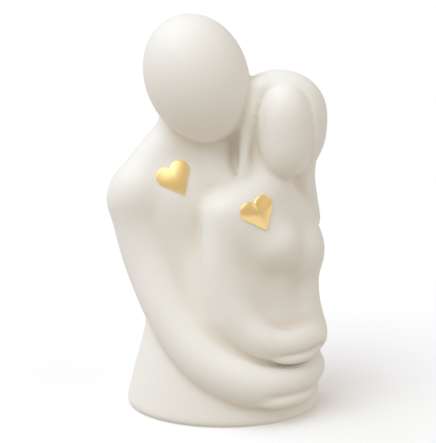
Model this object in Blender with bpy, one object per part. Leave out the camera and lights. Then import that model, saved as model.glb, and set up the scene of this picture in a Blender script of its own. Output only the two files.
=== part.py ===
# Courting couple figurine, in metres, +Z up, standing on z = 0 with its foot centred on the origin.
# The couple is one hollow-cast porcelain piece, seen from -Y: he stands behind at the left,
# she leans back on him at the right. Two thin gold hearts lie on their chests.

import math

import bmesh
import bpy
import numpy as np
from mathutils import Vector
from mathutils.bvhtree import BVHTree

# Driving sizes
FIGURE_HEIGHT = 0.224     # foot to the crown of the taller head
FOOT_WIDTH = 0.1098       # the oval foot along X
FOOT_DEPTH = 0.0942       # the oval foot along Y
FOOT_EDGE = 0.0024        # how far the foot's rounded bottom edge draws in
HEART_WIDTH = 0.0192
HEART_LENGTH = 0.0190
HEART_THICKNESS = 0.0012
HEART_GAP = 0.0004        # least clearance between a heart and the porcelain
HEART_LOBE = 0.28         # radius of a heart's round lobes, as a share of its width
HEART_TOP = 0.45          # how much of its length lies above the point that it is aimed by

# How finely the forms are meshed
GRID_STEP = 0.0015
COUPLE_FACETS = 8400
HEART_SIDES = 36
HEART_RINGS = 9
HEART_PILLOW = 0.4        # how full a heart's flat faces are; 1 would be an egg

# Pose, proportions and carving are laid out in parts, 224 to the figure's height
PART = FIGURE_HEIGHT / 224
FOOT_CENTRE = Vector((0.9, 0, 0))     # the origin's place in that layout
FOOT_SLOPE = 0.22                     # how fast the skirt narrows upwards
FOOT_HOLLOW = 0.0008                  # and how that narrowing grows with height
EDGE_REACH = 1.2                      # height over which the bottom edge draws in
SKIRT_TOP = 100
BELOW_GROUND = 2                      # left for the flat cut of the underside
SOFT_FROM, SOFT_TO = 38, 58           # heights between which the sleeves' creases soften

PORCELAIN = {"colour": (0.83, 0.80, 0.74), "roughness": 0.45, "metallic": 0.0}
GOLD = {"colour": (0.80, 0.55, 0.22), "roughness": 0.28, "metallic": 1.0}


class Maths:
    # Adds nodes to one tree; every call gives back the socket that holds its result

    def __init__(self, tree):
        self.tree = tree

    def node(self, kind, values=(), **settings):
        node = self.tree.nodes.new(kind)
        for name, setting in settings.items():
            setattr(node, name, setting)
        for name, value in dict(values).items():
            if isinstance(value, bpy.types.NodeSocket):
                self.tree.links.new(value, node.inputs[name])
            else:
                node.inputs[name].default_value = value
        return node

    def number(self, operation, *values):
        return self.node("ShaderNodeMath", enumerate(values), operation=operation).outputs[0]

    def vector(self, operation, *values, **named):
        node = self.node("ShaderNodeVectorMath", [*enumerate(values), *named.items()], operation=operation)
        return node.outputs["Value" if operation in ("LENGTH", "DOT_PRODUCT") else "Vector"]


def new_group(name, inputs, output):
    group = bpy.data.node_groups.new(name, "GeometryNodeTree")
    for socket_name, kind in inputs.items():
        group.interface.new_socket(socket_name, in_out="INPUT", socket_type="NodeSocket" + kind)
    group.interface.new_socket(output[0], in_out="OUTPUT", socket_type="NodeSocket" + output[1])
    return group, group.nodes.new("NodeGroupInput").outputs, group.nodes.new("NodeGroupOutput").inputs


def limb_group():
    # Distance to a round limb whose radius changes evenly from its start to its end
    vectors = ("Place", "Start", "End")
    inputs = {**{name: "Vector" for name in vectors}, "Start Radius": "Float", "End Radius": "Float"}
    group, given, result = new_group("Limb", inputs, ("Distance", "Float"))
    m = Maths(group)
    run = m.vector("SUBTRACT", given["End"], given["Start"])
    reach = m.vector("SUBTRACT", given["Place"], given["Start"])
    along = m.number("DIVIDE", m.vector("DOT_PRODUCT", reach, run), m.vector("DOT_PRODUCT", run, run))
    along = m.node("ShaderNodeClamp", {"Value": along}).outputs[0]
    off_axis = m.vector("SUBTRACT", reach, m.vector("SCALE", run, Scale=along))
    swell = m.number("SUBTRACT", given["End Radius"], given["Start Radius"])
    radius = m.number("MULTIPLY_ADD", along, swell, given["Start Radius"])
    group.links.new(m.number("SUBTRACT", m.vector("LENGTH", off_axis), radius), result[0])
    return group


def egg_group():
    # Distance to an egg that is turned by Tilt and whose girth grows upwards by Taper
    vectors = ("Place", "Centre", "Radii", "Tilt")
    inputs = {**{name: "Vector" for name in vectors}, "Taper": "Float"}
    group, given, result = new_group("Egg", inputs, ("Distance", "Float"))
    m = Maths(group)
    turned = m.node("ShaderNodeVectorRotate", {
        "Vector": m.vector("SUBTRACT", given["Place"], given["Centre"]),
        "Rotation": given["Tilt"],
    }, rotation_type="EULER_XYZ", invert=True).outputs[0]
    share = m.vector("DIVIDE", turned, given["Radii"])
    x, y, z = m.node("ShaderNodeSeparateXYZ", {0: share}).outputs
    girth = m.number("MULTIPLY_ADD", z, given["Taper"], 1.0)
    share = m.node("ShaderNodeCombineXYZ", {
        0: m.number("DIVIDE", x, girth),
        1: m.number("DIVIDE", y, girth),
        2: z,
    }).outputs[0]
    level = m.vector("LENGTH", share)
    slope = m.vector("LENGTH", m.vector("DIVIDE", share, given["Radii"]))
    rise = m.number("MULTIPLY", level, m.number("SUBTRACT", level, 1.0))
    group.links.new(m.number("DIVIDE", rise, m.number("MAXIMUM", slope, 1e-6)), result[0])
    return group


class Carving:
    # The forms of the couple, in parts; a distance is negative inside

    def __init__(self, tree):
        self.maths = Maths(tree)
        self.limb_group = limb_group()
        self.egg_group = egg_group()
        metres = self.maths.node("GeometryNodeInputPosition").outputs[0]
        parts = self.maths.vector("SCALE", metres, Scale=1 / PART)
        self.place = self.maths.vector("ADD", parts, FOOT_CENTRE)

    def egg(self, centre, radii, tilt=(0, 0, 0), taper=0.0):
        return self.maths.node("GeometryNodeGroup", {
            "Place": self.place,
            "Centre": centre,
            "Radii": radii,
            "Tilt": [math.radians(angle) for angle in tilt],
            "Taper": taper,
        }, node_tree=self.egg_group).outputs[0]

    def limb(self, points, steps=2):
        # A round limb along a smooth path; each point is x, y, z and the radius there
        path = smooth_path(points, steps)
        pieces = [self.maths.node("GeometryNodeGroup", {
            "Place": self.place,
            "Start": start[:3],
            "End": end[:3],
            "Start Radius": start[3],
            "End Radius": end[3],
        }, node_tree=self.limb_group).outputs[0] for start, end in zip(path, path[1:])]
        whole = pieces[0]
        for piece in pieces[1:]:
            whole = self.maths.number("MINIMUM", whole, piece)
        return whole

    def blend(self, first, second, reach):
        return self.maths.number("SMOOTH_MIN", first, second, reach)

    def softening(self, low_reach, high_reach):
        # A reach that grows with height, so that the sleeves stay crisp below and run soft above
        z = self.maths.node("ShaderNodeSeparateXYZ", {0: self.place}).outputs["Z"]
        return self.maths.node("ShaderNodeMapRange", {
            "Value": z,
            "From Min": SOFT_FROM,
            "From Max": SOFT_TO,
            "To Min": low_reach,
            "To Max": high_reach,
        }).outputs[0]

    def carve(self, form, tool, reach):
        return self.maths.number("SMOOTH_MAX", form, self.maths.number("MULTIPLY", tool, -1.0), reach)


def smooth_path(points, steps):
    knots = [Vector(point) for point in points]
    ends = [2 * knots[0] - knots[1], 2 * knots[-1] - knots[-2]]
    padded = [ends[0], *knots, ends[1]]
    path = []
    for before, start, end, after in zip(padded, padded[1:], padded[2:], padded[3:]):
        for step in range(steps):
            t = step / steps
            pull = (end - before) * t
            bend = (2 * before - 5 * start + 4 * end - after) * t ** 2
            twist = (3 * start - before - 3 * end + after) * t ** 3
            path.append((2 * start + pull + bend + twist) / 2)
    return [*path, knots[-1]]


def skirt(form):
    # The oval column that both figures rise from, with its foot's edge rounded in
    m = form.maths
    x, y, z = m.node("ShaderNodeSeparateXYZ", {0: form.place}).outputs
    x = m.number("SUBTRACT", x, FOOT_CENTRE.x)
    y = m.number("MULTIPLY", y, FOOT_WIDTH / FOOT_DEPTH)
    girth = m.number("SQRT", m.number("ADD", m.number("MULTIPLY", x, x), m.number("MULTIPLY", y, y)))
    edge = m.number("EXPONENT", m.number("DIVIDE", z, -EDGE_REACH))
    narrowing = m.number("MULTIPLY", z, m.number("MULTIPLY_ADD", z, FOOT_HOLLOW, FOOT_SLOPE))
    narrowing = m.number("MULTIPLY_ADD", edge, FOOT_EDGE / PART, narrowing)
    half_width = m.number("SUBTRACT", FOOT_WIDTH / 2 / PART, narrowing)
    wall = m.number("SUBTRACT", girth, half_width)
    column = m.number("SMOOTH_MAX", wall, m.number("SUBTRACT", z, SKIRT_TOP), 30)
    return m.number("MAXIMUM", column, m.number("SUBTRACT", -BELOW_GROUND, z))


def his_body(form):
    trunk = form.egg((-15, 9, 92), (37, 26, 54), (0, 0, 24))
    chest = form.egg((-17, 6, 118), (34, 23, 30), (0, 0, 22))
    neck = form.limb([(-14.6, 9, 168, 19.6), (-13, 13, 140, 20)], 1)
    near_shoulder = form.limb([(-24.5, 8, 150.5, 13.6), (-38.2, 3, 135.5, 14.2), (-46.6, -2, 120, 14)])
    shoulder_cap = form.egg((-44.5, -2, 124.5), (16.4, 16.4, 16.4))
    far_shoulder = form.limb([(0, 16, 150, 14), (20, 27, 124, 15)], 1)
    collar = form.limb([(-5.5, 5, 151.5, 13.5), (0, -1, 133.5, 14), (10, -4, 124, 13)], 1)
    between_them = form.egg((22, 10, 98), (14, 15, 24))
    between_heads = form.limb([(8, 1, 168, 8), (7, 0.5, 150, 8), (9, 1, 136, 9)])
    body = form.blend(trunk, chest, 12)
    body = form.blend(body, between_them, 8)
    body = form.blend(body, neck, 12)
    body = form.blend(body, near_shoulder, 10)
    body = form.blend(body, shoulder_cap, 6)
    body = form.blend(body, far_shoulder, 12)
    body = form.blend(body, collar, 10)
    return form.blend(body, between_heads, 8)


def his_far_arm(form):
    # Round her back to the hand that meets his other one
    return form.limb([
        (20, 27, 124, 15), (34, 26, 103, 13.5), (41, 20, 80, 12.5), (43, 13, 56, 12), (44.5, 4, 20, 11.5),
    ])


def his_arm(form):
    # Down from the shoulder and round the front of them both to the hand
    return form.limb([
        (-48.8, -2, 117, 14), (-41.5, -8, 88, 13.6), (-28, -22, 57.5, 13.1), (-9.5, -34.2, 35.2, 13.2),
        (12.5, -38.4, 23.4, 12.8), (29, -34, 21, 10.6), (41.8, -21, 21.6, 10.2), (46, -4, 22.5, 12),
    ])


def her_body(form):
    trunk = form.egg((22, -8, 90), (26, 17, 48), (0, 0, 35))
    chest = form.egg((20.5, -14, 108.5), (26, 17, 26), (0, 0, 30))
    neck = form.limb([(30, -12, 150, 10), (24, -13, 129, 12)], 1)
    near_shoulder = form.limb([(26, -14, 129, 10), (16, -17, 124.5, 9.5), (2, -22, 115.5, 9)])
    far_shoulder = form.limb([(26, -14, 128, 9), (34, -11, 117.5, 8.3), (41, -5, 104, 7.5)], 1)
    lap = form.egg((26, -4, 50), (25, 16.5, 24), (0, 0, 20))
    near_breast = form.egg((28.5, -20.3, 98), (14, 12.5, 13))
    far_breast = form.egg((44, -8, 92), (12, 10, 14))
    side = form.egg((11, -17, 81), (13, 13, 28))
    far_arm = form.limb([
        (40, -4, 112, 7.5), (44, -3, 98, 8), (46, -4, 84, 8),
        (45.6, -4, 74, 8), (46.8, -5, 58, 8), (49.5, 0, 40, 8.2),
    ], 1)
    body = form.blend(trunk, chest, 10)
    body = form.blend(body, neck, 8)
    body = form.blend(body, near_shoulder, 12)
    body = form.blend(body, far_shoulder, 10)
    body = form.blend(body, lap, 14)
    body = form.blend(body, near_breast, 10)
    body = form.blend(body, far_breast, 12)
    body = form.blend(body, side, 10)
    return form.blend(body, far_arm, 14)


def her_arm(form):
    return form.limb([
        (1.5, -22.5, 115.5, 9.2), (-0.8, -27.5, 93, 9), (2.5, -30.5, 73, 9.2), (9.5, -33, 57, 9.3),
        (22, -34.3, 46, 9), (37.5, -28, 42.2, 7.4), (49.4, -11, 41, 8.2), (50, -1, 40.5, 9),
    ])


def her_sleeve_edge(form):
    return form.limb([
        (25.5, -37.6, 38, 1.2), (33.2, -36, 36.2, 2.5), (41, -31.6, 35.3, 2.8),
        (47.9, -23.3, 35, 2.8), (52.6, -10, 34.8, 2.6),
    ])


def his_sleeve_edge(form):
    return form.limb([
        (17, -46, 15, 1.8), (25.6, -43.7, 13.7, 3.2), (34, -40, 13.2, 3.4), (43, -31.5, 12.8, 3.4),
        (48.6, -20.5, 12.6, 3.2), (50.6, -8, 13, 2.6),
    ])


def her_cuff_line(form):
    # The groove above her sleeve's edge
    return form.limb([
        (28, -39.6, 38.8, 0.4), (36, -37, 38.7, 1.4), (44.5, -30.3, 38, 1.6), (50.2, -23, 38, 1.6),
        (55.6, -14, 38, 1.6),
    ])


def his_cuff_line(form):
    return form.limb([
        (21.5, -49.5, 18.6, 0.4), (29.3, -46, 17.8, 1.4), (37, -41, 17.2, 1.6), (44.4, -33.6, 16.4, 1.6),
        (52.4, -21.7, 15.6, 1.8), (55.5, -10, 15, 1.8),
    ])


def her_hair(form):
    crown = form.egg((31, -4, 169.5), (25.6, 22, 22.5))
    sides = form.egg((36.2, -5, 161), (21.2, 20, 27))
    down_the_back = form.limb([
        (36, 2, 165, 18), (38.3, 5, 146, 14.7), (40, 7, 128, 11.8), (43, 6.5, 106, 12),
    ])
    beside_his_neck = form.limb([(22, -6, 173, 12), (19.5, -7, 156.5, 11.5), (17.5, -9, 138.5, 10.5)], 1)
    temple = form.limb([(22, -12.5, 183, 7), (19.3, -13.8, 171, 7), (18.4, -13, 160, 6)])
    lock = form.limb([
        (11.5, -19, 136.5, 3.2), (13.5, -16.5, 150.5, 3.6), (14.5, -15.5, 164, 4), (18, -15, 175.5, 4),
    ])
    hair = form.blend(crown, sides, 5)
    hair = form.blend(hair, down_the_back, 10)
    hair = form.blend(hair, beside_his_neck, 5)
    hair = form.blend(hair, lock, 3)
    hair = form.blend(hair, temple, 5)
    hair = form.carve(hair, hairline(form), 3.5)
    return form.blend(hair, hair_rim(form), 1.5)


def hairline(form):
    # The groove between her hair and her face, shallower on her far side
    return form.limb([
        (20, -21, 139, 2.4), (18.2, -19.5, 148, 3.2), (18, -20.8, 159, 2.2), (19, -22, 171, 1),
        (22, -20.5, 182, 1), (27.5, -20, 187.5, 1.2), (35, -20, 189.5, 1.6), (42, -19.5, 186.5, 2),
        (46.5, -19.5, 180, 1.6), (48.9, -20.5, 170, 1.4), (48.9, -20.5, 156, 1.4), (46.2, -21, 146, 1.4),
        (41, -21, 138, 1.6),
    ], 1)


def hair_rim(form):
    # The thin edge of her hair, beside the far cheek and round under the chin
    return form.limb([
        (46, -17.5, 178, 1.2), (50, -19, 169, 1.8), (50.8, -19.3, 159, 2),
        (50, -18.5, 150.5, 2), (47.2, -18.5, 144, 1.8), (42, -19, 139, 1.4),
    ])


def beside_her_hair(form):
    # The hollow between his neck and the lock of her hair
    return form.limb([(6.8, -8, 152, 2.6), (6.8, -10, 147, 3), (7, -12.3, 142, 2.6), (8, -15, 137.5, 1.4)])


def her_face(form):
    # A plain smooth egg without features
    brow = form.egg((34.3, -18.5, 166), (14.6, 14.5, 21))
    chin = form.egg((34.8, -19, 154.5), (14, 14, 18.5))
    return form.blend(brow, chin, 6)


def his_head(form):
    # A plain smooth egg without features, leaning towards her
    return form.egg((-13.5, -8, 188.5), (28.3, 29.3, 36.2), (0, -20, 0), 0.035)


def couple_form(form):
    body = form.blend(skirt(form), his_body(form), 18)
    body = form.blend(body, his_far_arm(form), 10)
    body = form.blend(body, her_body(form), form.softening(6, 12))
    body = form.blend(body, his_arm(form), form.softening(3, 11))
    body = form.blend(body, her_arm(form), form.softening(3, 16))
    body = form.carve(body, her_cuff_line(form), 1.5)
    body = form.carve(body, his_cuff_line(form), 1.5)
    body = form.blend(body, her_sleeve_edge(form), 1)
    body = form.blend(body, his_sleeve_edge(form), 1)
    body = form.blend(body, his_head(form), 3)
    body = form.blend(body, her_hair(form), 5)
    body = form.carve(body, beside_her_hair(form), 4)
    return form.blend(body, her_face(form), 2.5)


def couple_tree():
    tree, _, result = new_group("Couple", {"Geometry": "Geometry"}, ("Geometry", "Geometry"))
    form = Carving(tree)
    distance = couple_form(form)
    half_x = max(70 * PART, FOOT_WIDTH / 2 + 4 * GRID_STEP)
    half_y = max(60 * PART, FOOT_DEPTH / 2 + 4 * GRID_STEP)
    low = Vector((-half_x, -half_y, -2 * BELOW_GROUND * PART))
    high = Vector((half_x, half_y, 230 * PART))
    steps = [math.ceil(length / GRID_STEP) + 1 for length in high - low]
    m = form.maths
    volume = m.node("GeometryNodeVolumeCube", {
        "Density": m.number("MULTIPLY", distance, -1.0),
        "Background": -10.0,
        "Min": low,
        "Max": high,
        "Resolution X": steps[0],
        "Resolution Y": steps[1],
        "Resolution Z": steps[2],
    }).outputs[0]
    surface = m.node("GeometryNodeVolumeToMesh", {"Volume": volume, "Threshold": 0.0}).outputs[0]
    tree.links.new(surface, result[0])
    return tree


def material(name, finish):
    made = bpy.data.materials.new(name)
    made.use_nodes = True
    shader = made.node_tree.nodes["Principled BSDF"]
    shader.inputs["Base Color"].default_value = (*finish["colour"], 1)
    shader.inputs["Roughness"].default_value = finish["roughness"]
    shader.inputs["Metallic"].default_value = finish["metallic"]
    return made


def new_object(name, mesh, collection):
    made = bpy.data.objects.new(name, mesh)
    collection.objects.link(made)
    return made


def evaluated(thing):
    return thing.evaluated_get(bpy.context.evaluated_depsgraph_get())


def make_ground_cutter(collection):
    # Everything below z = 0, so that the underside is flat
    mesh = bpy.data.meshes.new("ground_cutter")
    cube = bmesh.new()
    bmesh.ops.create_cube(cube, size=1)
    cube.to_mesh(mesh)
    cube.free()
    cutter = new_object("ground_cutter", mesh, collection)
    depth = 4 * BELOW_GROUND * PART
    cutter.scale = (2 * FOOT_WIDTH, 2 * FOOT_DEPTH, depth)
    cutter.location.z = -depth / 2
    cutter.hide_render = True
    cutter.display_type = "WIRE"
    return cutter


def make_couple(collection, cutter):
    couple = new_object("couple_figure", bpy.data.meshes.new("couple_figure"), collection)
    couple.modifiers.new("Form", "NODES").node_group = couple_tree()
    facets = len(evaluated(couple).data.loop_triangles)
    lighten = couple.modifiers.new("Lighten", "DECIMATE")
    lighten.ratio = min(1.0, COUPLE_FACETS / facets)
    underside = couple.modifiers.new("Underside", "BOOLEAN")
    underside.operation = "DIFFERENCE"
    underside.object = cutter
    couple.data.materials.append(material("porcelain", PORCELAIN))
    return couple


def heart_outline(angle):
    # A heart one wide and one long, with its notch at angle 0: round lobes, and straight sides to the tip
    lobe, tip = HEART_LOBE, HEART_TOP - 1
    lobe_x, lobe_y = 0.5 - lobe, HEART_TOP - lobe
    lean = math.atan2(lobe_x, lobe_y - tip) + math.asin(lobe / math.hypot(lobe_x, lobe_y - tip))
    out_x, out_y = math.cos(lean), -math.sin(lean)
    touch_x, touch_y = lobe_x + lobe * out_x, lobe_y + lobe * out_y
    x, y = abs(math.sin(angle)), math.cos(angle)
    if math.atan2(x, y) > math.atan2(touch_x, touch_y):
        reach = (out_x * touch_x + out_y * touch_y) / (out_x * x + out_y * y)
    else:
        middle = x * lobe_x + y * lobe_y
        reach = middle + math.sqrt(middle ** 2 - lobe_x ** 2 - lobe_y ** 2 + lobe ** 2)
    return math.copysign(x, math.sin(angle)) * reach, y * reach


def bend_terms(x, y):
    # The terms of a smooth bend, up to the cubes
    return [x ** across * y ** along for across in range(4) for along in range(4 - across)]


def fitted_bend(porcelain, place_at, facing):
    # The smooth bend that follows the porcelain under a heart and clears its highest spot
    spots, heights = [], []
    for side in range(HEART_SIDES):
        across, along = heart_outline(2 * math.pi * side / HEART_SIDES)
        for share in (0.25, 0.5, 0.75, 1.0):
            spot = (across * HEART_WIDTH * share, along * HEART_LENGTH * share)
            skin = porcelain.ray_cast(place_at(*spot) + facing * HEART_WIDTH, -facing)[0]
            spots.append(bend_terms(*spot))
            heights.append((skin - place_at(*spot)).dot(facing))
    spots, heights = np.array(spots), np.array(heights)
    bend = np.linalg.lstsq(spots, heights, rcond=None)[0]
    bend[0] += (heights - spots @ bend).max()
    return bend


def make_heart(name, collection, porcelain, aim, roll):
    # A round pillow is drawn out to a heart, then laid on the porcelain seen along its own facing
    seen_from = Vector(((aim[0] - FOOT_CENTRE.x) * PART, -FIGURE_HEIGHT, aim[1] * PART))
    centre, _, _, _ = porcelain.ray_cast(seen_from, Vector((0, 1, 0)))
    near = [found[1] for found in porcelain.find_nearest_range(centre, HEART_WIDTH / 2)]
    facing = sum(near, Vector()).normalized()
    up = Vector((math.sin(math.radians(roll)), 0, math.cos(math.radians(roll))))
    up = (up - up.dot(facing) * facing).normalized()
    across = up.cross(facing)

    def place_at(x, y):
        return centre + across * x + up * y

    bend = fitted_bend(porcelain, place_at, facing)
    heart = bmesh.new()
    bmesh.ops.create_uvsphere(heart, u_segments=HEART_SIDES, v_segments=HEART_RINGS, radius=1)
    for vertex in heart.verts:
        x, y, z = vertex.co
        spread = math.hypot(x, y) ** HEART_PILLOW
        height = (1 + math.copysign(abs(z) ** HEART_PILLOW, z)) / 2
        side, length = heart_outline(math.atan2(x, y))
        spot = (side * spread * HEART_WIDTH, length * spread * HEART_LENGTH)
        lie = float(np.dot(bend, bend_terms(*spot)))
        vertex.co = place_at(*spot) + facing * (lie + HEART_GAP + height * HEART_THICKNESS)
    bmesh.ops.recalc_face_normals(heart, faces=heart.faces)
    mesh = bpy.data.meshes.new(name)
    heart.to_mesh(mesh)
    heart.free()
    mesh.shade_smooth()
    made = new_object(name, mesh, collection)
    made.data.materials.append(material(name + "_gold", GOLD))
    return made


def build():
    for old in list(bpy.data.objects):
        bpy.data.objects.remove(old)
    figurine = bpy.data.collections.new("courting_couple_figurine")
    cutters = bpy.data.collections.new("cutters")
    for collection in (figurine, cutters):
        bpy.context.scene.collection.children.link(collection)
    couple = make_couple(figurine, make_ground_cutter(cutters))
    porcelain = BVHTree.FromObject(couple, bpy.context.evaluated_depsgraph_get())
    make_heart("heart_on_him", figurine, porcelain, aim=(-25.5, 134), roll=-26)
    make_heart("heart_on_her", figurine, porcelain, aim=(20, 118.6), roll=-24)


build()
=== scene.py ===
# Courting couple figurine: one casting in white bisque porcelain, with a gold heart on each chest.
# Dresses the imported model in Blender 4.5. Metres, +Z up, the photographed side faces -Y.

import math

import bmesh
import bpy
import numpy as np
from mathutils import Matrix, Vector
from mathutils.bvhtree import BVHTree


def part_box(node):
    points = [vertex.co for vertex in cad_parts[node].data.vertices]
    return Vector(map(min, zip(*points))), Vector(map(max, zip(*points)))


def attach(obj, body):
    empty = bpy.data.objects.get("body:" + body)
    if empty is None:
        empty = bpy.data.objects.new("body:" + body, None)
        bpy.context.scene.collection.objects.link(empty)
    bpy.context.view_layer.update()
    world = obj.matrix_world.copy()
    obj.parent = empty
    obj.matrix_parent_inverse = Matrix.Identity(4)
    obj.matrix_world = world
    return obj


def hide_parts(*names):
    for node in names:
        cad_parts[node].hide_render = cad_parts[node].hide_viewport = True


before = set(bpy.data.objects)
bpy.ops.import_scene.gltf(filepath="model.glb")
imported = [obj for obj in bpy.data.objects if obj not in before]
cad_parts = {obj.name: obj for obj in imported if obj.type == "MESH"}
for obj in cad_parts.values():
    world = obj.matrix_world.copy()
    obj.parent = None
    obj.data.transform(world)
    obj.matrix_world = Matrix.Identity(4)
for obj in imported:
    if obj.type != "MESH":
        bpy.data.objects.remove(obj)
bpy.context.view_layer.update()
print("frame loaded:", ", ".join(sorted(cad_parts)))


class Wire:
    # One socket of a node tree; sums and products with it add the Math nodes that work them out

    def __init__(self, tree, socket):
        self.tree = tree
        self.socket = socket

    def into(self, socket):
        self.tree.links.new(self.socket, socket)

    def clamped(self):
        # The value kept between 0 and 1
        return addNode(self.tree, "ShaderNodeClamp", {}, {"Value": self})

    def __add__(self, other):
        return maths("ADD", self, other)

    def __sub__(self, other):
        return maths("SUBTRACT", self, other)

    def __mul__(self, other):
        return maths("MULTIPLY", self, other)

    def __truediv__(self, other):
        return maths("DIVIDE", self, other)

    def __neg__(self):
        return maths("MULTIPLY", self, -1.0)

    def __rsub__(self, other):
        return maths("SUBTRACT", other, self)

    def __rtruediv__(self, other):
        return maths("DIVIDE", other, self)

    __radd__ = __add__


def addNodes(tree, kind, settings, sockets):
    # Settings come first; a socket is named, or numbered among those in use, and takes a value or a wire
    node = tree.nodes.new(kind)
    for name, setting in settings.items():
        setattr(node, name, setting)
    inUse = [socket for socket in node.inputs if socket.enabled]
    named = {socket.name: socket for socket in inUse}
    for key, value in sockets.items():
        socket = inUse[key] if isinstance(key, int) else named[key]
        if isinstance(value, Wire):
            value.into(socket)
        else:
            socket.default_value = value
    return {socket.name: Wire(tree, socket) for socket in node.outputs if socket.enabled}


def addNode(tree, kind, settings, sockets, output=None):
    # As addNodes, but gives one output alone: the named one, or the first
    made = addNodes(tree, kind, settings, sockets)
    return made[output] if output else next(iter(made.values()))


def treeOf(values):
    return next(value.tree for value in values if isinstance(value, Wire))


def maths(operation, *values):
    settings = {"operation": operation}
    return addNode(treeOf(values), "ShaderNodeMath", settings, dict(enumerate(values)))


def vectorMaths(operation, *values, **named):
    settings = {"operation": operation}
    sockets = {**dict(enumerate(values)), **named}
    return addNode(treeOf(values), "ShaderNodeVectorMath", settings, sockets)


def newGroup(name, inputs, output):
    # inputs: name to socket type; gives the tree, its input wires and the socket that takes the result
    tree = bpy.data.node_groups.new(name, "GeometryNodeTree")
    for socketName, kind in inputs.items():
        tree.interface.new_socket(socketName, in_out="INPUT", socket_type="NodeSocket" + kind)
    tree.interface.new_socket(output[0], in_out="OUTPUT", socket_type="NodeSocket" + output[1])
    given = tree.nodes.new("NodeGroupInput").outputs
    result = tree.nodes.new("NodeGroupOutput").inputs[0]
    return tree, {name: Wire(tree, given[name]) for name in inputs}, result


def limbGroup():
    # Distance to a round limb whose radius changes evenly from its start to its end
    tree, given, result = newGroup("Limb", {
        "Place": "Vector", "Start": "Vector", "End": "Vector",
        "Start Radius": "Float", "End Radius": "Float",
    }, ("Distance", "Float"))
    run = vectorMaths("SUBTRACT", given["End"], given["Start"])
    reach = vectorMaths("SUBTRACT", given["Place"], given["Start"])
    along = vectorMaths("DOT_PRODUCT", reach, run) / vectorMaths("DOT_PRODUCT", run, run)
    along = along.clamped()
    offAxis = vectorMaths("SUBTRACT", reach, vectorMaths("SCALE", run, Scale=along))
    radius = given["Start Radius"] + along * (given["End Radius"] - given["Start Radius"])
    (vectorMaths("LENGTH", offAxis) - radius).into(result)
    return tree


leastSlope = 1e-6      # keeps an egg's distance finite at its centre


def eggGroup():
    # Distance to an egg that is turned by Tilt and whose girth grows upwards by Taper
    tree, given, result = newGroup("Egg", {
        "Place": "Vector", "Centre": "Vector", "Radii": "Vector", "Tilt": "Vector", "Taper": "Float",
    }, ("Distance", "Float"))
    turned = addNode(tree, "ShaderNodeVectorRotate", {"rotation_type": "EULER_XYZ", "invert": True}, {
        "Vector": vectorMaths("SUBTRACT", given["Place"], given["Centre"]),
        "Rotation": given["Tilt"],
    })
    share = vectorMaths("DIVIDE", turned, given["Radii"])
    share = addNodes(tree, "ShaderNodeSeparateXYZ", {}, {0: share})
    girth = share["Z"] * given["Taper"] + 1.0
    share = addNode(tree, "ShaderNodeCombineXYZ", {}, {
        0: share["X"] / girth, 1: share["Y"] / girth, 2: share["Z"],
    })
    level = vectorMaths("LENGTH", share)
    slope = vectorMaths("LENGTH", vectorMaths("DIVIDE", share, given["Radii"]))
    (level * (level - 1.0) / maths("MAXIMUM", slope, leastSlope)).into(result)
    return tree


limbTree = limbGroup()
eggTree = eggGroup()


def smoothPath(points, steps):
    # A smooth curve through the points, in that many steps between each two
    knots = [Vector(point) for point in points]
    padded = [2 * knots[0] - knots[1], *knots, 2 * knots[-1] - knots[-2]]
    path = []
    for before, start, end, after in zip(padded, padded[1:], padded[2:], padded[3:]):
        for step in range(steps):
            t = step / steps
            pull = (end - before) * t
            bend = (2 * before - 5 * start + 4 * end - after) * t ** 2
            twist = (3 * start - before - 3 * end + after) * t ** 3
            path.append((2 * start + pull + bend + twist) / 2)
    return [*path, knots[-1]]


def egg(place, form):
    return addNode(place.tree, "GeometryNodeGroup", {"node_tree": eggTree}, {
        "Place": place,
        "Centre": form["egg"],
        "Radii": form["radii"],
        "Tilt": [math.radians(angle) for angle in form.get("tilt", (0, 0, 0))],
        "Taper": form.get("taper", 0.0),
    })


def limb(place, form):
    path = smoothPath(form["limb"], form.get("steps", 2))
    whole = None
    for start, end in zip(path, path[1:]):
        piece = addNode(place.tree, "GeometryNodeGroup", {"node_tree": limbTree}, {
            "Place": place,
            "Start": start[:3],
            "End": end[:3],
            "Start Radius": start[3],
            "End Radius": end[3],
        })
        whole = piece if whole is None else maths("MINIMUM", whole, piece)
    return whole


def blend(first, second, reach):
    return maths("SMOOTH_MIN", first, second, reach)


def model(place, forms, whole=None):
    # Joins the forms in their order, each running into or carved from what is there, over its own blend
    for form in forms.values():
        distance = egg(place, form) if "egg" in form else limb(place, form)
        if form.get("carved"):
            whole = maths("SMOOTH_MAX", whole, -distance, form["blend"])
        elif whole is None:
            whole = distance
        else:
            whole = blend(whole, distance, form["blend"])
    return whole


# The couple is laid out in parts, 224 to its height. A limb's points are x, y, z and the radius there.
layout = {
    "parts": 224,
    "footCentre": (0.9, 0, 0),
    "footWidth": 0.1098,      # metres, as in the model's own source
    "footDepth": 0.0942,
    "gridStep": 0.00104,      # the form is meshed on cells of this size
    "gridHalf": (70, 60),     # how far the grid reaches to each side and to front and back, in parts
    "gridLow": -4,
    "gridHigh": 230,
    "outside": -10.0,         # the density that stands for all beyond the grid
    "smoothing": 2,           # rounds of averaging that take the cells' steps off
    "hollowRounds": 40,       # rounds of averaging that give each point its neighbourhood
}

column = {
    "slope": 0.22,            # how fast it narrows upwards, as a share of the height
    "hollow": 0.0008,         # and how much faster with each part of height
    "edge": 0.0024,           # metres that the foot's edge is rounded in
    "edgeReach": 1.2,         # parts of height over which that rounding fades
    "top": 100,
    "topBlend": 30,
}

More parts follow.
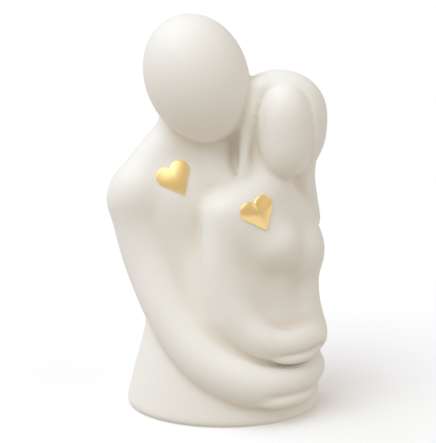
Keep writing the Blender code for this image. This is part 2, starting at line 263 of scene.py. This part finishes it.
hisBody = {
    "trunk": {"egg": (-15, 9, 92), "radii": (37, 26, 54), "tilt": (0, 0, 24)},
    "chest": {"egg": (-17, 6, 118), "radii": (34, 23, 30), "tilt": (0, 0, 22), "blend": 12},
    "between them": {"egg": (22, 10, 98), "radii": (14, 15, 24), "blend": 8},
    "neck": {"limb": [(-14.6, 9, 168, 19.6), (-13, 13, 140, 20)], "steps": 1, "blend": 12},
    "near shoulder": {"limb": [
        (-24.5, 8, 150.5, 13.6), (-38.2, 3, 135.5, 14.2), (-46.6, -2, 120, 14),
    ], "blend": 10},
    "shoulder cap": {"egg": (-44.5, -2, 124.5), "radii": (16.4, 16.4, 16.4), "blend": 6},
    "far shoulder": {"limb": [(0, 16, 150, 14), (20, 27, 124, 15)], "steps": 1, "blend": 12},
    "collar": {"limb": [
        (-5.5, 5, 151.5, 13.5), (0, -1, 133.5, 14), (10, -4, 124, 13),
    ], "steps": 1, "blend": 10},
    "between the heads": {"limb": [(8, 1, 168, 8), (7, 0.5, 150, 8), (9, 1, 136, 9)], "blend": 8},
}
hisFarArm = {"arm": {"limb": [
    (20, 27, 124, 15), (34, 26, 103, 13.5), (41, 20, 80, 12.5), (43, 13, 56, 12), (44.5, 4, 20, 11.5),
], "steps": 4}}
hisArm = {"arm": {"limb": [
    (-48.8, -2, 117, 14), (-41.5, -8, 88, 13.6), (-28, -22, 57.5, 13.1), (-9.5, -34.2, 35.2, 13.2),
    (12.5, -38.4, 23.4, 12.8), (29, -34, 21, 10.6), (41.8, -21, 21.6, 10.2), (46, -4, 22.5, 12),
], "steps": 5}}
hisHead = {"head": {
    "egg": (-13.5, -8, 188.5), "radii": (28.3, 29.3, 36.2), "tilt": (0, -20, 0), "taper": 0.035,
}}

herBody = {
    "trunk": {"egg": (22, -8, 90), "radii": (26, 17, 48), "tilt": (0, 0, 35)},
    "chest": {"egg": (20.5, -14, 108.5), "radii": (26, 17, 26), "tilt": (0, 0, 30), "blend": 10},
    "neck": {"limb": [(30, -12, 150, 10), (24, -13, 129, 12)], "steps": 1, "blend": 8},
    "near shoulder": {"limb": [
        (26, -14, 129, 10), (16, -17, 124.5, 9.5), (2, -22, 115.5, 9),
    ], "blend": 12},
    "far shoulder": {"limb": [
        (26, -14, 128, 9), (34, -11, 117.5, 8.3), (41, -5, 104, 7.5),
    ], "steps": 1, "blend": 10},
    "lap": {"egg": (26, -4, 50), "radii": (25, 16.5, 24), "tilt": (0, 0, 20), "blend": 14},
    "near breast": {"egg": (28.5, -20.3, 98), "radii": (14, 12.5, 13), "blend": 10},
    "far breast": {"egg": (44, -8, 92), "radii": (12, 10, 14), "blend": 12},
    "side": {"egg": (11, -17, 81), "radii": (13, 13, 28), "blend": 10},
    "far arm": {"limb": [
        (40, -4, 112, 7.5), (44, -3, 98, 8), (46, -4, 84, 8),
        (45.6, -4, 74, 8), (46.8, -5, 58, 8), (49.5, 0, 40, 8.2),
    ], "steps": 2, "blend": 14},
}
herArm = {"arm": {"limb": [
    (1.5, -22.5, 115.5, 9.2), (-0.8, -27.5, 93, 9), (2.5, -30.5, 73, 9.2), (9.5, -33, 57, 9.3),
    (22, -34.3, 46, 9), (37.5, -28, 42.2, 7.4), (49.4, -11, 41, 8.2), (50, -1, 40.5, 9),
], "steps": 5}}
cuffs = {
    "her line": {"limb": [
        (28, -39.6, 38.8, 0.4), (36, -37, 38.7, 1.4), (44.5, -30.3, 38, 1.6), (50.2, -23, 38, 1.6),
        (55.6, -14, 38, 1.6),
    ], "steps": 4, "blend": 1.5, "carved": True},
    "his line": {"limb": [
        (21.5, -49.5, 18.6, 0.4), (29.3, -46, 17.8, 1.4), (37, -41, 17.2, 1.6), (44.4, -33.6, 16.4, 1.6),
        (52.4, -21.7, 15.6, 1.8), (55.5, -10, 15, 1.8),
    ], "steps": 4, "blend": 1.5, "carved": True},
    "her edge": {"limb": [
        (25.5, -37.6, 38, 1.2), (33.2, -36, 36.2, 2.5), (41, -31.6, 35.3, 2.8),
        (47.9, -23.3, 35, 2.8), (52.6, -10, 34.8, 2.6),
    ], "steps": 4, "blend": 1},
    "his edge": {"limb": [
        (17, -46, 15, 1.8), (25.6, -43.7, 13.7, 3.2), (34, -40, 13.2, 3.4), (43, -31.5, 12.8, 3.4),
        (48.6, -20.5, 12.6, 3.2), (50.6, -8, 13, 2.6),
    ], "steps": 4, "blend": 1},
}
herHair = {
    "crown": {"egg": (31, -4, 169.5), "radii": (25.6, 22, 22.5)},
    "sides": {"egg": (36.2, -5, 161), "radii": (21.2, 20, 27), "blend": 5},
    "down the back": {"limb": [
        (36, 2, 165, 18), (38.3, 5, 146, 14.7), (40, 7, 128, 11.8), (43, 6.5, 106, 12),
    ], "blend": 10},
    "beside his neck": {"limb": [
        (22, -6, 173, 12), (19.5, -7, 156.5, 11.5), (17.5, -9, 138.5, 10.5),
    ], "steps": 1, "blend": 5},
    "lock": {"limb": [
        (11.5, -19, 136.5, 3.2), (13.5, -16.5, 150.5, 3.6), (14.5, -15.5, 164, 4), (18, -15, 175.5, 4),
    ], "blend": 3},
    "temple": {"limb": [(22, -12.5, 183, 7), (19.3, -13.8, 171, 7), (18.4, -13, 160, 6)], "blend": 5},
    "hairline": {"limb": [
        (20, -21, 139, 2.4), (18.2, -19.5, 148, 3.2), (18, -20.8, 159, 2.2), (19, -22, 171, 1),
        (22, -20.5, 182, 1), (27.5, -20, 187.5, 1.2), (35, -20, 189.5, 1.6), (42, -19.5, 186.5, 2),
        (46.5, -19.5, 180, 1.6), (48.9, -20.5, 170, 1.4), (48.9, -20.5, 156, 1.4), (46.2, -21, 146, 1.4),
        (41, -21, 138, 1.6),
    ], "steps": 3, "blend": 3.5, "carved": True},
    "rim": {"limb": [
        (46, -17.5, 178, 1.2), (50, -19, 169, 1.8), (50.8, -19.3, 159, 2),
        (50, -18.5, 150.5, 2), (47.2, -18.5, 144, 1.8), (42, -19, 139, 1.4),
    ], "steps": 4, "blend": 1.5},
}
besideHerHair = {"hollow": {"limb": [
    (6.8, -8, 152, 2.6), (6.8, -10, 147, 3), (7, -12.3, 142, 2.6), (8, -15, 137.5, 1.4),
], "blend": 4, "carved": True}}
herFace = {
    "brow": {"egg": (34.3, -18.5, 166), "radii": (14.6, 14.5, 21)},
    "chin": {"egg": (34.8, -19, 154.5), "radii": (14, 14, 18.5), "blend": 6},
}

# What runs into what, in order, and how softly low down and high up. None: each form has its own blend.
joins = [
    (hisBody, 18, 18),
    (hisFarArm, 10, 10),
    (herBody, 6, 12),
    (hisArm, 3, 11),
    (herArm, 3, 16),
    (cuffs, None, None),
    (hisHead, 3, 3),
    (herHair, 5, 5),
    (besideHerHair, None, None),
    (herFace, 2.5, 2.5),
]
softFrom, softTo = 38, 58      # the heights, in parts, between which the joins soften
millimetres = 1000.0           # in a metre


def makeColumn(place, part, footWidth, footDepth):
    # The oval column that both figures rise from, cut flat below, with its foot's edge rounded in
    at = addNodes(place.tree, "ShaderNodeSeparateXYZ", {}, {0: place})
    x = at["X"] - layout["footCentre"][0]
    y = at["Y"] * (footWidth / footDepth)
    z = at["Z"]
    girth = maths("SQRT", x * x + y * y)
    edge = maths("EXPONENT", z / -column["edgeReach"]) * (column["edge"] / part)
    narrowing = z * (z * column["hollow"] + column["slope"]) + edge
    wall = girth - (footWidth / part * 0.5 - narrowing)
    return maths("SMOOTH_MAX", wall, z - column["top"], column["topBlend"]), z


def coupleTree():
    # Meshes the zero level of the couple's distance on a grid, then smooths and shades it
    tree, given, result = newGroup("Couple", {
        "Geometry": "Geometry", "Height": "Float", "Foot Width": "Float", "Foot Depth": "Float",
        "Grid Step": "Float", "Smoothing": "Int", "Porcelain": "Material",
    }, ("Geometry", "Geometry"))
    part = given["Height"] / layout["parts"]
    metres = addNode(tree, "GeometryNodeInputPosition", {}, {})
    place = vectorMaths("ADD", vectorMaths("SCALE", metres, Scale=1 / part), layout["footCentre"])
    whole, z = makeColumn(place, part, given["Foot Width"], given["Foot Depth"])
    share = ((z - softFrom) / (softTo - softFrom)).clamped()
    for forms, lowReach, highReach in joins:
        if lowReach is None:
            whole = model(place, forms, whole)
        else:
            reach = lowReach if lowReach == highReach else share * (highReach - lowReach) + lowReach
            whole = blend(whole, model(place, forms), reach)
    whole = maths("MAXIMUM", whole, -z)
    halfX, halfY = layout["gridHalf"]
    low = {0: part * -halfX, 1: part * -halfY, 2: part * layout["gridLow"]}
    high = {0: part * halfX, 1: part * halfY, 2: part * layout["gridHigh"]}
    spans = {"X": 2 * halfX, "Y": 2 * halfY, "Z": layout["gridHigh"] - layout["gridLow"]}
    volume = addNode(tree, "GeometryNodeVolumeCube", {}, {
        "Density": -whole,
        "Background": layout["outside"],
        "Min": addNode(tree, "ShaderNodeCombineXYZ", {}, low),
        "Max": addNode(tree, "ShaderNodeCombineXYZ", {}, high),
        **{"Resolution " + axis: part * span / given["Grid Step"] for axis, span in spans.items()},
    })
    surface = addNode(tree, "GeometryNodeVolumeToMesh", {}, {"Volume": volume, "Threshold": 0.0})
    surface = smoothSurface(tree, surface, given["Smoothing"])
    surface = storeHollows(tree, surface)
    surface = addNode(tree, "GeometryNodeSetShadeSmooth", {}, {"Geometry": surface})
    surface = addNode(tree, "GeometryNodeRealizeInstances", {}, {"Geometry": surface})
    surface = addNode(tree, "GeometryNodeSetMaterial", {}, {
        "Geometry": surface,
        "Material": given["Porcelain"],
    })
    surface.into(result)
    return tree


def averaged(tree, rounds):
    # Each point's place, and its place averaged with its neighbours' that many times
    here = addNode(tree, "GeometryNodeInputPosition", {}, {})
    blur = addNode(tree, "GeometryNodeBlurAttribute", {"data_type": "FLOAT_VECTOR"}, {
        "Value": here,
        "Iterations": rounds,
    })
    return here, blur


def smoothSurface(tree, surface, rounds):
    _, average = averaged(tree, rounds)
    return addNode(tree, "GeometryNodeSetPosition", {}, {"Geometry": surface, "Position": average})


def storeHollows(tree, surface):
    # How far each point lies below its neighbourhood, in millimetres, for the painted shade that darkens
    # the porcelain in its hollows
    here, average = averaged(tree, layout["hollowRounds"])
    normal = addNode(tree, "GeometryNodeInputNormal", {}, {})
    depth = vectorMaths("DOT_PRODUCT", vectorMaths("SUBTRACT", average, here), normal) * millimetres
    return addNode(tree, "GeometryNodeStoreNamedAttribute", {"data_type": "FLOAT", "domain": "POINT"}, {
        "Geometry": surface,
        "Name": "hollow",
        "Value": depth,
    })


def newPiece(name, mesh):
    piece = bpy.data.objects.new(name, mesh)
    bpy.context.scene.collection.objects.link(piece)
    return piece


def plainMesh(name, tree, values):
    # Runs a geometry tree with its named inputs set, and keeps the result as a plain mesh
    maker = newPiece(name + "_maker", bpy.data.meshes.new(name))
    modifier = maker.modifiers.new("Make", "NODES")
    modifier.node_group = tree
    for socket in tree.interface.items_tree:
        if socket.name in values:
            modifier[socket.identifier] = values[socket.name]
    mesh = bpy.data.meshes.new_from_object(maker.evaluated_get(bpy.context.evaluated_depsgraph_get()))
    mesh.name = name
    maker.modifiers.remove(modifier)
    bpy.data.objects.remove(maker)
    return mesh


def newMaterial(name):
    material = bpy.data.materials.new(name)
    material.use_nodes = True
    tree = material.node_tree
    shader = tree.nodes["Principled BSDF"]
    return material, tree, shader


def mixColour(tree, factor, first, second):
    return addNode(tree, "ShaderNodeMix", {"data_type": "RGBA"}, {
        "Factor": factor,
        "A": (*first, 1),
        "B": (*second, 1),
    })


def noise(tree, place, size, detail):
    # Cloudy noise from 0 to 1 with features of about that size, in metres
    return addNode(tree, "ShaderNodeTexNoise", {"noise_dimensions": "3D"}, {
        "Vector": place,
        "Scale": 1 / size,
        "Detail": detail,
    })


porcelainFinish = {
    "lit": (0.86, 0.835, 0.785),
    # painted shade: a darker, warmer colour mixed in where the surface lies in a hollow
    "hollow": (0.80, 0.745, 0.66),
    "paintedShadeDepth": 0.9,        # millimetres below the neighbourhood at which the painted shade is full
    "cloudSize": 0.030,
    "cloudDetail": 3.0,
    "cloudShare": 0.3,
    "roughness": 0.55,
    "roughSpread": 0.12,
    "grainSize": 0.0004,
    "grainDetail": 2.0,
    "grainDepth": 0.00003,
    "grainStrength": 0.4,
    "seamX": -0.0030,          # the line on the foot, front and back, where the mould's halves met
    "seamWidth": 0.0009,
    "seamTop": 0.019,
    "seamFade": 0.012,
    "seamHeight": 0.00012,
}


def makePorcelain():
    finish = porcelainFinish
    material, tree, shader = newMaterial("bisque_porcelain")
    place = addNode(tree, "ShaderNodeTexCoord", {}, {}, "Object")
    hollow = addNode(tree, "ShaderNodeAttribute", {"attribute_name": "hollow"}, {}, "Fac")
    clouds = noise(tree, place, finish["cloudSize"], finish["cloudDetail"])
    # painted shade that deepens with the hollow, plus cloudy tone that differs at random
    paintedShadeAndClouds = (hollow / finish["paintedShadeDepth"] + (clouds - 0.5) * finish["cloudShare"]).clamped()
    mixColour(tree, paintedShadeAndClouds, finish["lit"], finish["hollow"]).into(shader.inputs["Base Color"])
    grain = noise(tree, place, finish["grainSize"], finish["grainDetail"])
    (finish["roughness"] + (grain - 0.5) * finish["roughSpread"]).into(shader.inputs["Roughness"])
    at = addNodes(tree, "ShaderNodeSeparateXYZ", {}, {0: place})
    seam = (1 - maths("ABSOLUTE", at["X"] - finish["seamX"]) / finish["seamWidth"]).clamped()
    below = ((finish["seamTop"] - at["Z"]) / finish["seamFade"]).clamped()
    bump = addNode(tree, "ShaderNodeBump", {}, {
        "Distance": finish["seamHeight"],
        "Height": seam * below,
    })
    bump = addNode(tree, "ShaderNodeBump", {}, {
        "Strength": finish["grainStrength"],
        "Distance": finish["grainDepth"],
        "Height": grain,
        "Normal": bump,
    })
    bump.into(shader.inputs["Normal"])
    return material


def makeCouple(porcelain):
    mesh = plainMesh("couple", coupleTree(), {
        "Height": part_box("couple_figure")[1].z,
        "Foot Width": layout["footWidth"],
        "Foot Depth": layout["footDepth"],
        "Grid Step": layout["gridStep"],
        "Smoothing": layout["smoothing"],
        "Porcelain": porcelain,
    })
    piece = newPiece("couple", mesh)
    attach(piece, "root")
    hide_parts("couple_figure")
    print("couple made:", len(mesh.polygons), "faces")
    return piece


couple = makeCouple(makePorcelain())


goldFinish = {
    "colour": (0.93, 0.66, 0.27),
    "pale": (0.97, 0.72, 0.33),
    "metallic": 0.8,           # the rest is the satin of its fine scratches
    "roughness": 0.3,
    "roughSpread": 0.1,
    "hazeSize": 0.006,
    "hazeDetail": 3.0,
}

hearts = {
    "width": 0.0192,
    "length": 0.0190,
    "thickness": 0.0009,
    "edge": 0.00025,           # radius of the worn rim
    "sunk": 0.0004,            # how far its back lies in the glue
    "lobe": 0.28,              # radius of the round lobes, as a share of the width
    "top": 0.45,               # how much of the length lies above the point that it is aimed by
    "sides": 144,
    "rings": 20,
    "rimTurn": 15,             # degrees between the rings of the worn rim
    "sharpAngle": 40,
    "aimedFrom": -0.3,         # y of the point in front of the figure from which it is aimed
    "feelEvery": 6,            # the chest is felt for its bend along every sixth side
    "feelShares": (0.25, 0.5, 0.75, 1.0),
    "bendOrder": 3,
    "heartOnHim": {"aim": (-25.5, 134), "roll": -26, "dome": 0.0002},
    "heartOnHer": {"aim": (20, 118.6), "roll": -24, "dome": 0.0011},
}


def heartOutline(angle):
    # A heart one wide and one long, with its notch at angle 0, round lobes and straight sides
    lobe, top, tip = hearts["lobe"], hearts["top"], hearts["top"] - 1
    lobeX, lobeY = 0.5 - lobe, top - lobe
    lean = math.atan2(lobeX, lobeY - tip) + math.asin(lobe / math.hypot(lobeX, lobeY - tip))
    outX, outY = math.cos(lean), -math.sin(lean)
    touchX, touchY = lobeX + lobe * outX, lobeY + lobe * outY
    x, y = abs(math.sin(angle)), math.cos(angle)
    if math.atan2(x, y) > math.atan2(touchX, touchY):
        reach = (outX * touchX + outY * touchY) / (outX * x + outY * y)
    else:
        middle = x * lobeX + y * lobeY
        reach = middle + math.sqrt(middle ** 2 - lobeX ** 2 - lobeY ** 2 + lobe ** 2)
    return math.copysign(x, math.sin(angle)) * reach, y * reach


def makeGold():
    finish = goldFinish
    material, tree, shader = newMaterial("heart_gold")
    shader.inputs["Metallic"].default_value = finish["metallic"]
    place = addNode(tree, "ShaderNodeTexCoord", {}, {}, "Object")
    haze = noise(tree, place, finish["hazeSize"], finish["hazeDetail"])
    mixColour(tree, haze, finish["colour"], finish["pale"]).into(shader.inputs["Base Color"])
    (finish["roughness"] + (haze - 0.5) * finish["roughSpread"]).into(shader.inputs["Roughness"])
    return material


def heartProfile(dome):
    # Height above the back, share of the outline and inset, from the middle of the face to the back
    top = hearts["thickness"]
    edge = hearts["edge"]
    shares = [ring / hearts["rings"] for ring in range(1, hearts["rings"])]
    face = [(top + dome * (1 - share ** 2), share, 0) for share in shares]
    turns = [math.radians(angle) for angle in range(0, 91, hearts["rimTurn"])]
    rim = [(top - edge * (1 - math.cos(turn)), 1, edge * (1 - math.sin(turn))) for turn in turns]
    return [*face, *rim, (-hearts["sunk"], 1, 0)]


def spotAt(angle, share, inset):
    # A point of the flat heart: that share of the way out to its outline, less the inset
    side, length = heartOutline(angle)
    x, y = side * hearts["width"] * share, length * hearts["length"] * share
    reach = math.hypot(x, y)
    shrink = max(0.0, 1 - inset / reach) if reach else 1.0
    return x * shrink, y * shrink


def seatOf(heart, skin):
    # The point of the chest that the heart is aimed at, and its directions across, up and outwards
    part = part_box("couple_figure")[1].z / layout["parts"]
    aimX, aimZ = heart["aim"]
    start = Vector(((aimX - layout["footCentre"][0]) * part, hearts["aimedFrom"], aimZ * part))
    centre = skin.ray_cast(start, Vector((0, 1, 0)))[0]
    around = skin.find_nearest_range(centre, hearts["width"] / 2)
    outwards = sum((found[1] for found in around), Vector()).normalized()
    roll = math.radians(heart["roll"])
    up = Vector((math.sin(roll), 0, math.cos(roll)))
    up = (up - up.dot(outwards) * outwards).normalized()
    return centre, up.cross(outwards), up, outwards


def bendTerms(x, y):
    count = hearts["bendOrder"] + 1
    return [x ** across * y ** along for across in range(count) for along in range(count - across)]


def bendOf(spots, seat, skin):
    # The smooth bend that comes nearest to the chest's heights at the spots
    centre, across, up, outwards = seat
    heights = []
    for x, y in spots:
        start = centre + across * x + up * y + outwards * hearts["width"]
        heights.append((skin.ray_cast(start, -outwards)[0] - centre).dot(outwards))
    terms = np.array([bendTerms(x, y) for x, y in spots])
    return np.linalg.lstsq(terms, np.array(heights), rcond=None)[0]


def heartMesh(name, dome, seat, skin):
    centre, across, up, outwards = seat
    angles = [2 * math.pi * side / hearts["sides"] for side in range(hearts["sides"])]
    felt = angles[::hearts["feelEvery"]]
    spots = [spotAt(angle, share, 0) for angle in felt for share in hearts["feelShares"]]
    bend = bendOf(spots, seat, skin)

    def point(x, y, height):
        lie = float(np.dot(bend, bendTerms(x, y)))
        return centre + across * x + up * y + outwards * (lie + height)

    shape = bmesh.new()
    rows = [[shape.verts.new(point(*spotAt(angle, share, inset), height)) for angle in angles]
            for height, share, inset in heartProfile(dome)]
    middle = shape.verts.new(point(0, 0, hearts["thickness"] + dome))
    for first, second in zip(rows, rows[1:]):
        for here in range(len(angles)):
            after = (here + 1) % len(angles)
            shape.faces.new((first[here], second[here], second[after], first[after]))
    for here, vertex in enumerate(rows[0]):
        shape.faces.new((middle, vertex, rows[0][(here + 1) % len(angles)]))
    shape.faces.new(rows[-1])
    bmesh.ops.recalc_face_normals(shape, faces=shape.faces)
    mesh = bpy.data.meshes.new(name)
    shape.to_mesh(mesh)
    shape.free()
    mesh.shade_smooth()
    mesh.set_sharp_from_angle(angle=math.radians(hearts["sharpAngle"]))
    return mesh


def makeHeart(name, node, skin, gold):
    heart = hearts[name]
    mesh = heartMesh(name, heart["dome"], seatOf(heart, skin), skin)
    mesh.materials.append(gold)
    piece = newPiece(name, mesh)
    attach(piece, "root")
    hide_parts(node)
    print(name, "laid on the chest")


skin = BVHTree.FromObject(couple, bpy.context.evaluated_depsgraph_get())
gold = makeGold()
makeHeart("heartOnHim", "heart_on_him", skin, gold)
makeHeart("heartOnHer", "heart_on_her", skin, gold)


studio = {
    "floorSize": 6.0,
    "floorColour": (0.95, 0.95, 0.95),
    "floorRoughness": 0.8,
    "fill": (0.58, 0.53, 0.465),   # even light from all round
    # A light's turn and rise are degrees to the right of the camera and up, and its spread is its softness
    "lights": {
        "key": {"turn": -50, "rise": 54, "spread": 50, "power": 1.45, "colour": (0.89, 1.0, 1.1)},
        "behindLeft": {"turn": -120, "rise": 46, "spread": 50, "power": 0.55, "colour": (0.9, 1.0, 1.3)},
        "right": {"turn": 65, "rise": 38, "spread": 50, "power": 0.36, "colour": (0.91, 1.0, 1.1)},
    },
}

view = {"place": (-0.0031, -1.44189, 0.51846), "down": 16.0, "lens": 219.413}


def makeFloor():
    shape = bmesh.new()
    bmesh.ops.create_grid(shape, x_segments=1, y_segments=1, size=studio["floorSize"] / 2)
    mesh = bpy.data.meshes.new("floor")
    shape.to_mesh(mesh)
    shape.free()
    material, _, shader = newMaterial("floor")
    shader.inputs["Base Color"].default_value = (*studio["floorColour"], 1)
    shader.inputs["Roughness"].default_value = studio["floorRoughness"]
    mesh.materials.append(material)
    floor = newPiece("floor", mesh)
    floor.visible_diffuse = False      # the even fill stands in for the light that a floor throws back
    floor.visible_shadow = False


def makeLights():
    for name, light in studio["lights"].items():
        lamp = bpy.data.lights.new(name, "SUN")
        lamp.angle = math.radians(light["spread"])
        lamp.energy = light["power"]
        lamp.color = light["colour"]
        holder = newPiece(name, lamp)
        holder.rotation_euler = (math.radians(90 - light["rise"]), 0, math.radians(light["turn"]))
    world = bpy.data.worlds.new("studio")
    world.use_nodes = True
    world.node_tree.nodes["Background"].inputs["Color"].default_value = (*studio["fill"], 1)
    bpy.context.scene.world = world


def makeCamera():
    lens = bpy.data.cameras.new("camera")
    lens.lens = view["lens"]
    camera = newPiece("camera", lens)
    camera.location = view["place"]
    camera.rotation_euler = (math.radians(90 - view["down"]), 0, 0)
    bpy.context.scene.camera = camera


makeFloor()
makeLights()
makeCamera()
bpy.context.scene.view_settings.view_transform = "Standard"
print("studio ready")
